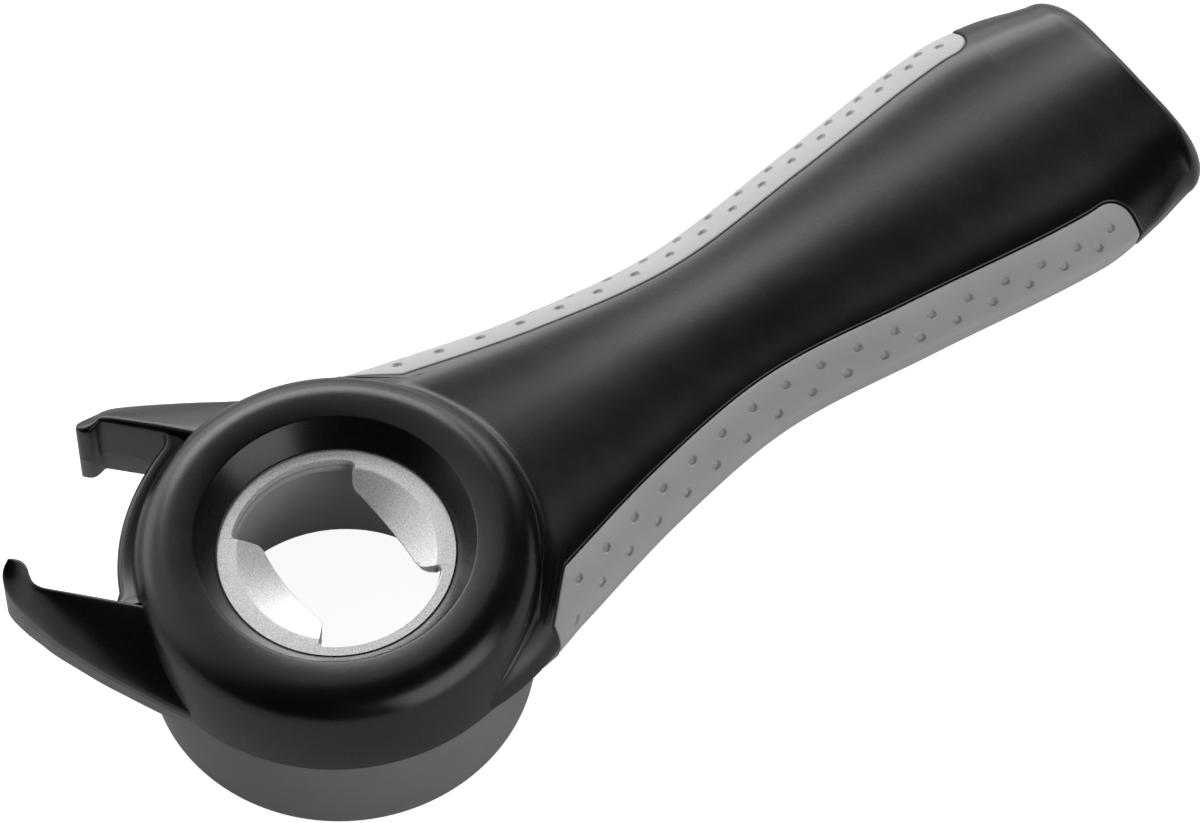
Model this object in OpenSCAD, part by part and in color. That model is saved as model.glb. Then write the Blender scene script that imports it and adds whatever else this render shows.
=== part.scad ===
// Hand opener for crown caps, screw caps and vacuum lids.
// Origin: head axis at the plane of the cup rim. +X runs along the handle,
// +Z up through the cap lifter. Millimetres.

/* [Head] */
// Radius of the cup at its open rim
cup_rim_r = 31.7; // [31:0.1:32.5]
// How far the top of the cup steps in under the upper shell
cup_step = 0.4; // [0.2:0.1:0.9]
// Height of the seam between the upper shell and the parts under it
seam_z = 22.4; // [21:0.1:23]
// How far the upper shell flares out from the dome down to the seam
seam_flare = 1.7; // [1.3:0.1:2.5]
// Width from the opening in the top to the centre of the rolled dome
lip_w = 7.8; // [7.4:0.1:8.2]
// Thickness radius of the rolled dome
dome_roll = 5.7; // [5.5:0.1:5.9]
// Height of the top of the dome
dome_top_z = 36.9; // [36.5:0.1:38]
// Wall thickness of the shells and the cup
wall = 2.4; // [2.2:0.1:2.6]

/* [Cap lifter] */
// Radius of the opening in the top, where the steel shows
window_r = 19; // [18.6:0.1:19.4]
// How far the steel ring reaches under the dome
ring_lap = 2; // [1.8:0.1:2.2]
// Width of the steel that shows between the teeth
ring_band = 1.9; // [1.6:0.1:2.2]
// Steel thickness
steel_t = 1.5; // [1.2:0.1:1.8]
// Height of the top face of the steel ring
steel_z = 31.9; // [31.5:0.1:32.2]
// Radius of the bend of each tooth
bend_r = 15.4; // [15:0.1:16]
// Distance from the axis to the middle of each tooth's edge
tooth_x = 10.3; // [9.5:0.1:11]
// How far each tooth drops from its bend to its edge
tooth_drop = 3; // [2:0.1:4]
// Half angle that each tooth spans
tooth_half_angle = 45; // [40:1:50]

/* [Screw cap grip] */
// Inner radius of the rubber cone at the cup rim
cone_rim_r = 22.7; // [22:0.1:23.5]
// Inner radius of the rubber cone at its top
cone_top_r = 17.7; // [17.4:0.1:18]
// Thickness of the rubber cone
cone_t = 2.4; // [2.2:0.1:2.6]

/* [Handle] */
// Distance from the head axis to the end of the handle
handle_x = 164.8; // [150:1:185]
// Half width of the handle where it leaves the head
root_w = 28.6; // [28:0.1:29.2]
// Half width of the handle on its way in to the waist
neck_w = 22.8; // [22:0.1:24]
// Half width of the handle at its waist
waist_w = 19.4; // [18.4:0.1:21]
// Half width of the handle on its way out to the end
palm_w = 22; // [21:0.1:23]
// Largest half width of the handle near its end
tail_w = 25.1; // [23.5:0.1:27]
// Height of the crown of the handle
crown_z = 31; // [30.4:0.1:31.4]
// Height of the underside of the handle next to the head
belly_head_z = 13; // [12:0.1:14]
// Height of the underside of the handle at its end
belly_end_z = 17; // [15:0.1:17.5]

/* [Grips] */
// Thickness of the soft side grips
grip_t = 1.8; // [1.5:0.1:2.1]
// Width of the strip of grip seen from above
grip_reach = 6.5; // [6:0.1:7.2]
// Where the grips start, towards the head
grip_start_x = 21.6; // [21:0.1:22.4]
// Distance from the end of the grips to the end of the handle
grip_end_gap = 19.3; // [17:0.1:22]

/* [Horns] */
// Direction of the middle of the two horns, from the handle
horn_angle = 132; // [125:1:140]
// Half width of the gap between the horns
horn_gap = 15.4; // [14.8:0.1:16]
// Reach of the long horn from the head axis
long_horn = 52; // [51:0.1:54]
// Reach of the short horn from the head axis
short_horn = 47.2; // [46:0.1:49]
// Height of the top of the horns
horn_top_z = 33; // [31.5:0.1:33.5]
// Height of the underside of the horns
horn_low_z = 18; // [16:0.1:19]

/* [Hidden] */
$fn = 96;
dome_z = dome_top_z - dome_roll;
dome_r = window_r + lip_w;
seam_r = dome_r + dome_roll + seam_flare;
cup_top_r = seam_r - cup_step;
ring_r = window_r + ring_lap;
ring_hole_r = window_r - ring_band;
steel_low = steel_z - steel_t;
seat_r = ring_r + 0.1;
skim = 0.06;
shell_gap = 0.3;
rim_lip = 0.4;

// stations of half width along the handle, joined by a smooth curve
root_back = 6.2;
root_x = seam_r - root_back;
drawn_run = 136.8;
function along(x) = x < root_x ? x : root_x + (x - 28) * (handle_x - root_x) / drawn_run;
outline = [[-14, seam_r + 0.1], [0, seam_r - 0.4], [13, seam_r - 1], [root_x, root_w], [along(52), neck_w],
  [along(77), waist_w], [along(105), palm_w], [along(138), tail_w], [along(150), tail_w - 0.4],
  [along(158), tail_w - 1.1]];
function slope(i) = (outline[i + 1][1] - outline[i - 1][1]) / (outline[i + 1][0] - outline[i - 1][0]);
function seg(x, i = 1) = (i >= len(outline) - 2 || x < outline[i + 1][0]) ? i : seg(x, i + 1);
function herm(a, b, ma, mb, h, t) = a * (2 * t * t * t - 3 * t * t + 1) + b * (3 * t * t - 2 * t * t * t)
  + h * ma * (t * t * t - 2 * t * t + t) + h * mb * (t * t * t - t * t);
function mid_w(x) = let (i = seg(x), h = outline[i + 1][0] - outline[i][0], t = (x - outline[i][0]) / h)
  herm(outline[i][1], outline[i + 1][1], slope(i), i + 2 < len(outline) ? slope(i + 1) : -0.08, h, t);

// rounding of the end of the handle: 0 along the handle, 1 at its very end
end_round = 5.6;
end_pull = 9;
belly_run = 110;
function turn(x) = x <= handle_x - end_round ? 0
  : 1 - sqrt(max(0, 1 - pow((x - handle_x + end_round) / end_round, 2)));
function half_w(x) = mid_w(min(x, handle_x - end_round)) - end_pull * turn(x);
function top_h(x) = crown_z - seam_z - 2.6 * turn(x);
function low_h(x) = seam_z - belly_head_z - (belly_end_z - belly_head_z) * max(0, min(1, (x - root_x) / belly_run))
  - 1.6 * turn(x);
function squareness(x) = 3.4 + 1.1 * max(0, min(1, (half_w(x) - 19.4) / 9));

// the underside is tucked in where it meets the round cup
function tuck(x) = 2.4 * max(0, min(1, (grip_start_x - skim - x) / 10));
// a point on the skin at fraction f of the half width; side 1 up, -1 down
function skin(x, f, side, dy, dz) = let (w = half_w(x) - dy - (side < 0 ? tuck(x) : 0),
    h = (side > 0 ? top_h(x) : low_h(x)) - dz)
  [x, w * f, seam_z + side * h * pow(max(0, 1 - pow(f, squareness(x))), 1 / 2.2)];

// edge of the grip as a fraction of the half width
grip_end_x = handle_x - grip_end_gap;
bare_edge = 0.94;
function edge_f(x) = let (base = 1 - grip_reach / half_w(x), a = (x - grip_start_x) / 7,
    b = (grip_end_x - x) / 4.5)
  a < 0 || b < 0 ? bare_edge : a < 1 ? base + (bare_edge - base) * (1 - a)
  : b < 1 ? base + (bare_edge - base) * (1 - sqrt(1 - pow(1 - b, 2))) : base;
rim_steps = [0, 0.04, 0.12, 0.28, 0.55, 1];
top_steps = [1, 0.93, 0.84, 0.72, 0.56, 0.36, 0.14];
function rim_f(x, s) = 1 - (1 - edge_f(x)) * s;

// half rows of points from the seam to near the crown: the skin outside, the wall inside
function grip_row(x, side, d) = [for (s = rim_steps) skin(x, rim_f(x, s), side, d, d)];
function outer_row(x, side, d) = concat(grip_row(x, side, d),
  [for (s = top_steps) skin(x, edge_f(x) * s, side, 0, 0)]);
function inner_row(x, side) = concat(
  [for (s = rim_steps) skin(x, rim_f(x, s), side, grip_t + wall, wall + 0.3)],
  [for (s = top_steps) skin(x, edge_f(x) * s, side, grip_t + wall, wall)]);
function flat_row(x) = [for (k = concat([for (s = rim_steps) 1 - (1 - edge_f(x)) * s * 0.9],
  [for (s = top_steps) edge_f(x) * s])) [x, half_w(x) * 0.95 * k, seam_z]];
function rev(v) = [for (i = [len(v) - 1:-1:0]) v[i]];
function mirrored(v) = [for (p = v) [p[0], -p[1], p[2]]];
function both(row) = concat(row, rev(mirrored(row)));

// a closed strip swept along the handle between two matching sheets of points
module strip(outer, inner, flip) {
  m = len(outer);
  n = len(outer[0]);
  pts = concat([for (r = outer) each r], [for (r = inner) each r]);
  q = m * n;
  sheet_o = [for (i = [0:m - 2], j = [0:n - 2]) each [[i * n + j, (i + 1) * n + j, (i + 1) * n + j + 1],
    [i * n + j, (i + 1) * n + j + 1, i * n + j + 1]]];
  sheet_i = [for (i = [0:m - 2], j = [0:n - 2])
    each [[q + i * n + j, q + (i + 1) * n + j + 1, q + (i + 1) * n + j],
      [q + i * n + j, q + i * n + j + 1, q + (i + 1) * n + j + 1]]];
  edge_a = [for (i = [0:m - 2]) each [[i * n, q + i * n, q + (i + 1) * n],
    [i * n, q + (i + 1) * n, (i + 1) * n]]];
  edge_b = [for (i = [0:m - 2]) each [[i * n + n - 1, (i + 1) * n + n - 1, q + (i + 1) * n + n - 1],
    [i * n + n - 1, q + (i + 1) * n + n - 1, q + i * n + n - 1]]];
  cap_a = [for (j = [0:n - 2]) each [[j, j + 1, q + j + 1], [j, q + j + 1, q + j]]];
  e = (m - 1) * n;
  cap_b = [for (j = [0:n - 2]) each j < n / 2
    ? [[e + j, q + e + j, e + j + 1], [q + e + j, q + e + j + 1, e + j + 1]]
    : [[e + j, q + e + j + 1, e + j + 1], [e + j, q + e + j, q + e + j + 1]]];
  faces = concat(sheet_o, sheet_i, edge_a, edge_b, cap_a, cap_b);
  polyhedron(points = pts, faces = flip ? [for (f = faces) [f[0], f[2], f[1]]] : faces);
}

// stations along the handle: position, depth of the step for the grips, hollow or solid
function lerp(a, b, n) = [for (i = [0:n]) a + (b - a) * i / n];
end_in = handle_x - wall - 0.8;
bare_x = grip_start_x - skim;
xs_grip = concat([for (a = [0, 1.9, 4.2, 7]) grip_start_x + a],
  lerp(grip_start_x + 11.4, grip_end_x - 7.5, 17), [for (b = [4.5, 2.5, 1, 0]) grip_end_x - b]);
head_cuts = [for (x = lerp(6, bare_x, 8)) [x, skim, true]];
low_start_x = 11;
low_head_cuts = [for (x = lerp(low_start_x, bare_x, 3)) [x, skim, true]];
grip_cuts = [for (x = xs_grip) [x, grip_t, true]];
tail_cuts = [for (x = concat(lerp(grip_end_x + skim, handle_x - end_round, 4), [handle_x - 4, end_in]))
  [x, skim, true]];
end_cuts = [for (x = [end_in + skim, handle_x - 1.6, handle_x - 0.8, handle_x - 0.3, handle_x])
  [x, skim, false]];
rear_cuts = concat(grip_cuts, tail_cuts, end_cuts);

// where each line of points along the underside starts, on the side of the cup
join_x = 45;
function cup_r(z) = cup_rim_r + (cup_top_r - cup_rim_r) * z / seam_z + shell_gap;
function line_f(x, on_rim, s) = on_rim ? rim_f(x, s) : edge_f(x) * s;
function low_start(on_rim, s, dy, dz, x = 25, n = 20) = n == 0 ? x
  : let (p = skin(x, line_f(x, on_rim, s), -1, dy, dz))
    low_start(on_rim, s, dy, dz, (x + sqrt(max(1, pow(cup_r(p[2]), 2) - p[1] * p[1]))) / 2, n - 1);
function low_point(x, to, on_rim, s, dy, dz) = let (a = low_start(on_rim, s, dy, dz),
    u = x >= to ? x : a + (x - low_start_x) / (to - low_start_x) * (to - a))
  skin(u, line_f(u, on_rim, s), -1, dy, dz);
function low_outer(x, d) = concat([for (s = rim_steps) low_point(x, bare_x, true, s, d, d)],
  [for (s = top_steps) low_point(x, s == 1 ? bare_x : join_x, false, s, 0, 0)]);
function low_inner(x) = concat([for (s = rim_steps) low_point(x, join_x, true, s, grip_t + wall, wall + 0.3)],
  [for (s = top_steps) low_point(x, join_x, false, s, grip_t + wall, wall)]);

module upper_body() {
  cuts = concat(head_cuts, rear_cuts);
  strip([for (c = cuts) both(outer_row(c[0], 1, c[1]))],
    [for (c = cuts) both(c[2] ? inner_row(c[0], 1) : flat_row(c[0]))], false);
}

// horn outlines in a frame turned so that its first axis runs between the horns
long_pts = [[20, horn_gap], [20, 27.4], [25, 25.8], [30, 24.3], [35, 22.7], [40, 20.9], [44, 19.2],
  [47, 17.6], [long_horn - 2.2, 16], [long_horn - 0.6, 14.2], [long_horn, 12.6], [long_horn - 0.7, 11],
  [long_horn - 2.2, 10.3], [long_horn - 3.9, 10.8], [long_horn - 4.9, 12.4], [long_horn - 6.2, 14.2],
  [long_horn - 7.6, horn_gap - 0.4], [42, horn_gap]];
short_pts = [[20, -25.2], [20, -horn_gap], [short_horn - 5, -horn_gap], [short_horn - 4.1, -15],
  [short_horn - 3.5, -13.8], [short_horn - 2.2, -13], [short_horn - 0.9, -13.3], [short_horn - 0.2, -14.4],
  [short_horn, -15.6], [short_horn - 1, -17], [42.5, -19.2], [38, -20.9], [33, -22.5], [28, -23.9],
  [24, -24.8]];

module horns(low, high) {
  rotate([0, 0, horn_angle]) {
    translate([0, 0, low]) linear_extrude(height = high - low) polygon(long_pts);
    translate([0, 0, low]) linear_extrude(height = high - low) polygon(short_pts);
  }
}

module upper_shell() {
  cut_r = seam_r - wall;
  hollow_r = seam_r - wall - 0.6;
  color([0.07, 0.07, 0.075]) {
    difference() {
      union() {
        upper_body();
        horns(seam_z, horn_top_z);
      }
      translate([0, 0, seam_z - 5]) cylinder(r = cut_r, h = 30);
    }
    rotate_extrude() difference() {
      union() {
        translate([dome_r, dome_z]) circle(r = dome_roll);
        polygon([[window_r, steel_z], [window_r + 3.5, steel_z + 3.4], [dome_r, dome_z + 3],
          [dome_r + dome_roll, dome_z], [seam_r, seam_z], [hollow_r, seam_z],
          [seat_r, steel_low], [seat_r, steel_z]]);
      }
      polygon([[hollow_r, seam_z - 1], [hollow_r, seam_z], [dome_r + dome_roll - wall, dome_z - 1],
        [dome_r + 2, dome_z + 2.6], [dome_r - 1.5, dome_z + 2.4], [ring_r + wall, steel_low + 1],
        [ring_r + wall, steel_low - 1.4], [ring_r + wall, seam_z - 1]]);
      polygon([[window_r - 1, seam_z - 1], [window_r - 1, steel_z], [seat_r, steel_z], [seat_r, steel_low],
        [ring_r + wall + 0.1, steel_low],
        [ring_r + wall + 0.1, seam_z - 1]]);
    }
    rotate([0, 0, horn_angle - 25]) rotate_extrude(angle = 50)
      translate([cut_r, seam_z]) square([wall + rim_lip, crown_z - seam_z]);
  }
}

module handle_underside() {
  cuts = concat(low_head_cuts, rear_cuts);
  color([0.2, 0.2, 0.205])
    strip([for (c = cuts) both(low_outer(c[0], c[1]))],
      [for (c = cuts) both(c[2] ? low_inner(c[0]) : flat_row(c[0]))], true);
}

function cone_out(z) = cone_rim_r + cone_t - (cone_rim_r - cone_top_r) * z / steel_low;

module lid_cup() {
  color([0.2, 0.2, 0.205]) {
    difference() {
      horns(horn_low_z, seam_z);
      translate([0, 0, horn_low_z - 5]) cylinder(r = cup_top_r - 1.6, h = 20);
    }
    rotate_extrude() polygon([[cone_out(0), 0], [cup_rim_r, 0], [cup_top_r, seam_z],
      [cup_top_r - wall, seam_z], [cup_rim_r - wall, wall], [cone_out(wall) + wall, wall],
      [cone_out(steel_low - 3) + wall, steel_low - 3], [ring_r, steel_low],
      [cone_out(steel_low), steel_low]]);
  }
}

module cap_cone() {
  low = 0.4;
  color([0.26, 0.26, 0.27])
    rotate_extrude() polygon([[cone_out(low) - cone_t, low], [cone_out(low), low],
      [cone_out(steel_low), steel_low], [ring_hole_r - 0.2, steel_low], [ring_hole_r - 0.2, steel_low - 1.2],
      [cone_top_r, steel_low - 1.8]]);
}

// one bent tooth, cut back to a shallow concave edge
module tooth() {
  edge_r = 47;
  inner = tooth_x - 2.4;
  fall = tooth_drop + 1.4;
  difference() {
    rotate([0, 0, -tooth_half_angle]) rotate_extrude(angle = 2 * tooth_half_angle)
      polygon([[ring_hole_r + 0.4, steel_low], [ring_hole_r + 0.4, steel_z], [bend_r, steel_z],
        [inner, steel_z - fall], [inner, steel_low - fall], [bend_r - 0.3, steel_low]]);
    translate([tooth_x - edge_r, 0, 0]) cylinder(r = edge_r, h = 60);
  }
}

module cap_lifter() {
  color([0.8, 0.8, 0.82]) {
    difference() {
      translate([0, 0, steel_low]) cylinder(r = ring_r, h = steel_t);
      translate([0, 0, steel_low - 1]) cylinder(r = ring_hole_r, h = steel_t + 2);
    }
    tooth();
    rotate([0, 0, 180]) tooth();
  }
}

module grip(side) {
  up = [1:len(rim_steps) - 1];
  function wrap(x, d) = concat(rev(grip_row(x, -1, d)), [for (i = up) grip_row(x, 1, d)[i]]);
  out = [for (x = xs_grip) wrap(x, 0)];
  inn = [for (x = xs_grip) wrap(x, grip_t)];
  color([0.6, 0.6, 0.61])
    strip(side > 0 ? out : [for (r = out) mirrored(r)],
      side > 0 ? inn : [for (r = inn) mirrored(r)], side > 0);
}

module grip_left() {
  grip(1);
}

module grip_right() {
  grip(-1);
}

upper_shell();
handle_underside();
lid_cup();
cap_cone();
cap_lifter();
grip_left();
grip_right();
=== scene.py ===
# Hand opener for crown caps, screw caps and vacuum lids.
# Sizes are in millimetres until a piece is finished, when it goes to metres.
import math
import bmesh
import bpy
import numpy as np
from mathutils import Matrix, Vector


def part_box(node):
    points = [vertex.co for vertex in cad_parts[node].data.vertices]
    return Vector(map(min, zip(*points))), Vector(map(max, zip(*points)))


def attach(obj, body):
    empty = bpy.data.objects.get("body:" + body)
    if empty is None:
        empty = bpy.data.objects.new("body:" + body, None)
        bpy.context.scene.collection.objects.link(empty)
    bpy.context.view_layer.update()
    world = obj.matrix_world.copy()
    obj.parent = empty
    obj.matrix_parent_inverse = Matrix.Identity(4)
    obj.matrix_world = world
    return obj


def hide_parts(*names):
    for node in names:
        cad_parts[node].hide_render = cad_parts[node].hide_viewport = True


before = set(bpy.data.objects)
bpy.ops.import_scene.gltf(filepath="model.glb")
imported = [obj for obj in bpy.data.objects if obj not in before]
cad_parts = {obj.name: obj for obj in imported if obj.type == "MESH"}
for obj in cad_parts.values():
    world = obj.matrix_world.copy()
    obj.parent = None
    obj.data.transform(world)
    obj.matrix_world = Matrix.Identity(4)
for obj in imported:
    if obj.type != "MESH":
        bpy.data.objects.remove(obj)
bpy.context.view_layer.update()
print("frame loaded")


def box(node):  # a CAD node's lowest and highest corner in millimetres
    low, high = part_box(node)
    return [c * 1000 for c in low], [c * 1000 for c in high]


seamZ = box("upper_shell")[0][2]
domeTop = box("upper_shell")[1][2]
endX = box("upper_shell")[1][0]
steelTop = box("cap_lifter")[1][2]
steelR = box("cap_lifter")[1][0]
steelThick = 1.5
steelLow = steelTop - steelThick
gripLow, gripHigh = box("grip_left")
gripStart, gripEnd = gripLow[0], gripHigh[0]


# making and finishing meshes

def sheet(bm, rows):  # a flat grid whose points are carried to their places
    rows = np.asarray(rows, float)
    m, n = rows.shape[:2]
    made = bmesh.ops.create_grid(bm, x_segments=m - 1, y_segments=n - 1, size=1)["verts"]
    for v in made:
        i = round((v.co.x + 1) / 2 * (m - 1))
        j = round((v.co.y + 1) / 2 * (n - 1))
        v.co = rows[i, j]


def spun(bm, profile, steps):  # a closed outline of (radius, height) turned about the head axis
    points = [bm.verts.new((r, 0, z)) for r, z in profile]
    edges = [bm.edges.new((a, b)) for a, b in zip(points, points[1:] + points[:1])]
    bmesh.ops.spin(bm, geom=points + edges, cent=(0, 0, 0), axis=(0, 0, 1), angle=math.tau,
                   steps=steps, use_merge=True)


def closeUp(bm, reach=0.004):  # merge seams, fill flat openings, point faces outwards
    bmesh.ops.remove_doubles(bm, verts=bm.verts, dist=reach)
    bmesh.ops.dissolve_degenerate(bm, edges=bm.edges, dist=reach / 4)
    rims = [e for e in bm.edges if e.is_boundary]
    if rims:
        bmesh.ops.holes_fill(bm, edges=rims, sides=0)
    bmesh.ops.recalc_face_normals(bm, faces=bm.faces)


def finished(bm, name, material, slot, *nodes, sharp=38):  # a mesh in metres, in place of CAD nodes
    bmesh.ops.scale(bm, verts=bm.verts, vec=(0.001, 0.001, 0.001))
    mesh = bpy.data.meshes.new(name)
    for face in bm.faces:
        face.smooth = True
    bm.to_mesh(mesh)
    gaps = sum(e.is_boundary for e in bm.edges)
    bm.free()
    mesh.set_sharp_from_angle(angle=math.radians(sharp))
    mesh.materials.append(material)
    piece = bpy.data.objects.new(name, mesh)
    bpy.context.collection.objects.link(piece)
    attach(piece, "root")
    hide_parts(*nodes)
    print(name, len(mesh.polygons), "faces", gaps, "open edges")
    return piece


def ramp(start, run, x):  # straight step from 0 to 1 over a run
    return min(1, max(0, (x - start) / run))


def ease(a, b, x):  # smooth step from 0 at a to 1 at b
    t = np.clip((np.asarray(x, float) - a) / (b - a), 0, 1)
    return t * t * (3 - 2 * t)


def rounding(radius, d):  # how far a round edge has fallen away, d from the edge
    r = max(radius, 1e-6)
    return r - np.sqrt(np.maximum(0, r * r - np.clip(r - np.asarray(d, float), 0, r) ** 2))


def arc(cr, cz, radius, start, end, count):  # points on a round stretch, angles in degrees
    angles = np.linspace(math.radians(start), math.radians(end), count)
    return [(cr + radius * math.cos(a), cz + radius * math.sin(a)) for a in angles]


def quarter(start, run, count):  # places along a run that crowd together towards its end
    return [start + run * math.sin(a) for a in np.linspace(0, math.pi / 2, count)]


def elbow(start, knee, end, count):  # points that round a corner, the last of them at its end
    shares = np.linspace(0, 1, count + 1)[1:]
    return [(1 - t) ** 2 * start + 2 * t * (1 - t) * knee + t * t * end for t in shares]


def curve(points, count, fine=24):  # points spread evenly along a smooth curve through the given ones
    p = np.asarray(points, float)
    ext = np.vstack([2 * p[0] - p[1], p, 2 * p[-1] - p[-2]])
    along = []
    for k in range(1, len(ext) - 2):
        a, b, c, d = ext[k - 1:k + 3]
        for t in np.linspace(0, 1, fine, endpoint=False):
            along.append(0.5 * ((2 * b) + (c - a) * t + (2 * a - 5 * b + 4 * c - d) * t * t
                                + (3 * b - a - 3 * c + d) * t ** 3))
    along = np.array(along + [p[-1]])
    run = np.r_[0, np.cumsum(np.linalg.norm(np.diff(along, axis=0), axis=1))]
    want = np.linspace(0, run[-1], count)
    return np.column_stack([np.interp(want, run, along[:, k]) for k in range(p.shape[1])])


# materials

def linear(grey, tint):  # a display grey of 0-255 as a scene colour, slightly cool
    g = ((grey / 255 + 0.055) / 1.055) ** 2.4
    return (g * (1 - tint), g, g * (1 + 1.5 * tint), 1)


class Nodes:  # a short way to add and join nodes, in a new material or in the tree of a world
    def __init__(self, name, tree=None):
        if tree is None:
            self.material = bpy.data.materials.new(name)
            self.material.use_nodes = True
            tree = self.material.node_tree
            self.shader = tree.nodes["Principled BSDF"]
        self.tree = tree

    def add(self, kind, inputs=None, **settings):
        node = self.tree.nodes.new(kind)
        for key, value in settings.items():
            setattr(node, key, value)
        for key, value in (inputs or {}).items():
            if isinstance(value, bpy.types.NodeSocket):
                self.tree.links.new(value, node.inputs[key])
            else:
                node.inputs[key].default_value = value
        return node

    def join(self, source, socket):
        self.tree.links.new(source, self.shader.inputs[socket])

    def place(self):
        return self.add("ShaderNodeTexCoord").outputs["Object"]

    def combine(self, operation, one, two):
        return self.add("ShaderNodeMath", {0: one, 1: two}, operation=operation).outputs[0]

    def noise(self, scale, detail, rough=0.55, vector=None):
        return self.add("ShaderNodeTexNoise", {"Scale": scale, "Detail": detail, "Roughness": rough,
                        "Vector": vector or self.place()}).outputs["Fac"]

    def spread(self, source, low, high, fromLow=0.35, fromHigh=0.65, **settings):
        return self.add("ShaderNodeMapRange", {"Value": source, "From Min": fromLow, "From Max": fromHigh,
                        "To Min": low, "To Max": high}, **settings).outputs["Result"]

    def tones(self, factor, look):
        mix = self.add("ShaderNodeMix", data_type="RGBA")
        self.tree.links.new(factor, mix.inputs[0])
        mix.inputs[6].default_value = linear(look["dark"], look["tint"])
        mix.inputs[7].default_value = linear(look["light"], look["tint"])
        return mix.outputs[2]

    def bump(self, height, strength, distance, normal=None):
        node = self.add("ShaderNodeBump", {"Height": height, "Strength": strength, "Distance": distance})
        if normal:
            self.tree.links.new(normal, node.inputs["Normal"])
        return node.outputs["Normal"]


def moulded(name, look):  # moulded plastic or rubber: fine grain, cloudiness and light wear
    n = Nodes(name)
    cloud = n.noise(look["cloud"], detail=3)
    grain = n.noise(look["grain"], detail=2, rough=0.6)
    wear = n.noise(look["wear"], detail=5, rough=0.7)
    n.join(n.tones(n.spread(cloud, 0, 1), look), "Base Color")
    gloss = n.spread(cloud, look["gloss"] - look["glossSpread"], look["gloss"] + look["glossSpread"])
    rubbed = n.spread(wear, -look["rub"], look["rub"])
    n.join(n.combine("ADD", gloss, rubbed), "Roughness")
    n.join(n.bump(grain, look["depth"], look["distance"]), "Normal")
    n.shader.inputs["Specular IOR Level"].default_value = look["specular"]
    return n.material


def blanked(name, look):  # blanked sheet steel: rolled grain and small flecks
    n = Nodes(name)
    stretched = n.add("ShaderNodeMapping", {"Vector": n.place(), "Scale": (1, look["stretch"], 1),
                      "Rotation": (0, 0, look["turn"])}).outputs[0]
    rolled = n.noise(look["rolled"], detail=4, rough=0.6, vector=stretched)
    fleck = n.noise(look["fleck"], detail=2, rough=0.7)
    n.join(n.tones(n.spread(fleck, 0, 1), look), "Base Color")
    n.join(n.spread(rolled, *look["gloss"]), "Roughness")
    lines = n.bump(rolled, look["rolledDepth"], look["rolledDistance"])
    n.join(n.bump(fleck, look["fleckDepth"], look["fleckDistance"], lines), "Normal")
    n.shader.inputs["Metallic"].default_value = look["metal"]
    return n.material


shellLook = {"dark": 12, "light": 16, "tint": 0.012, "cloud": 60, "grain": 5200, "wear": 240,
             "gloss": 0.27, "glossSpread": 0.01, "rub": 0.012, "depth": 0.1, "distance": 0.00004,
             "specular": 0.5}
cupLook = {"dark": 125, "light": 133, "tint": 0.012, "cloud": 80, "grain": 4200, "wear": 260,
           "gloss": 0.5, "glossSpread": 0.04, "rub": 0.03, "depth": 0.16, "distance": 0.00005,
           "specular": 0.4}
coneLook = {"dark": 194, "light": 204, "tint": 0.012, "cloud": 120, "grain": 3600, "wear": 300,
            "gloss": 0.66, "glossSpread": 0.05, "rub": 0.04, "depth": 0.2, "distance": 0.00006,
            "specular": 0.35}
gripLook = {"dark": 185, "light": 191, "tint": 0.012, "cloud": 90, "grain": 4200, "wear": 220,
            "gloss": 0.62, "glossSpread": 0.05, "rub": 0.04, "depth": 0.3, "distance": 0.00006,
            "specular": 0.4}
steelLook = {"dark": 207, "light": 250, "tint": 0.005, "turn": 0.5, "stretch": 7, "rolled": 900,
             "fleck": 3800, "gloss": (0.28, 0.44), "metal": 0.4, "rolledDepth": 0.25,
             "rolledDistance": 0.00004, "fleckDepth": 0.3, "fleckDistance": 0.00006}

shellBlack = moulded("shellBlack", shellLook)
cupGrey = moulded("cupGrey", cupLook)
coneRubber = moulded("coneRubber", coneLook)
gripSoft = moulded("gripSoft", gripLook)
blankedSteel = blanked("blankedSteel", steelLook)
print("materials made")


# dome of the head

# the hollow's corners are measured from the middle of the roll
dome = {"rollR": 26.4, "roll": 6.0, "seamR": 34.2, "parting": 0.3, "creaseR": 22.5, "creaseDrop": 0.35,
        "creaseRound": 0.6, "window": 19.0, "footOut": 0.25, "footUp": 0.35, "sag": 0.14, "lip": 0.25,
        "lipUp": 0.3, "lipTurn": (160, 262), "seat": 21.1, "seatGap": 0.04, "seatRun": 3.0, "wall": 2.4,
        "hollow": [(-1.5, 2), (2, 2), (4.5, -2)]}
rollZ = domeTop - dome["roll"]


def tangentAngle():  # where the straight flank of the dome runs into its roll
    dr, dz = dome["seamR"] - dome["rollR"], seamZ + dome["parting"] - rollZ
    return math.degrees(math.atan2(dz, dr) + math.acos(dome["roll"] / math.hypot(dr, dz)))


flankTop = tangentAngle()


def flankR(z):  # outer radius of the dome at a height
    z = np.asarray(z, float)
    top = arc(dome["rollR"], rollZ, dome["roll"], flankTop, flankTop, 1)[0]
    t = (z - seamZ) / (top[1] - seamZ)
    flank = dome["seamR"] + (top[0] - dome["seamR"]) * t
    over = dome["rollR"] + np.sqrt(np.maximum(0, dome["roll"] ** 2 - (z - rollZ) ** 2))
    return np.where(z <= top[1], flank, over)


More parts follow.
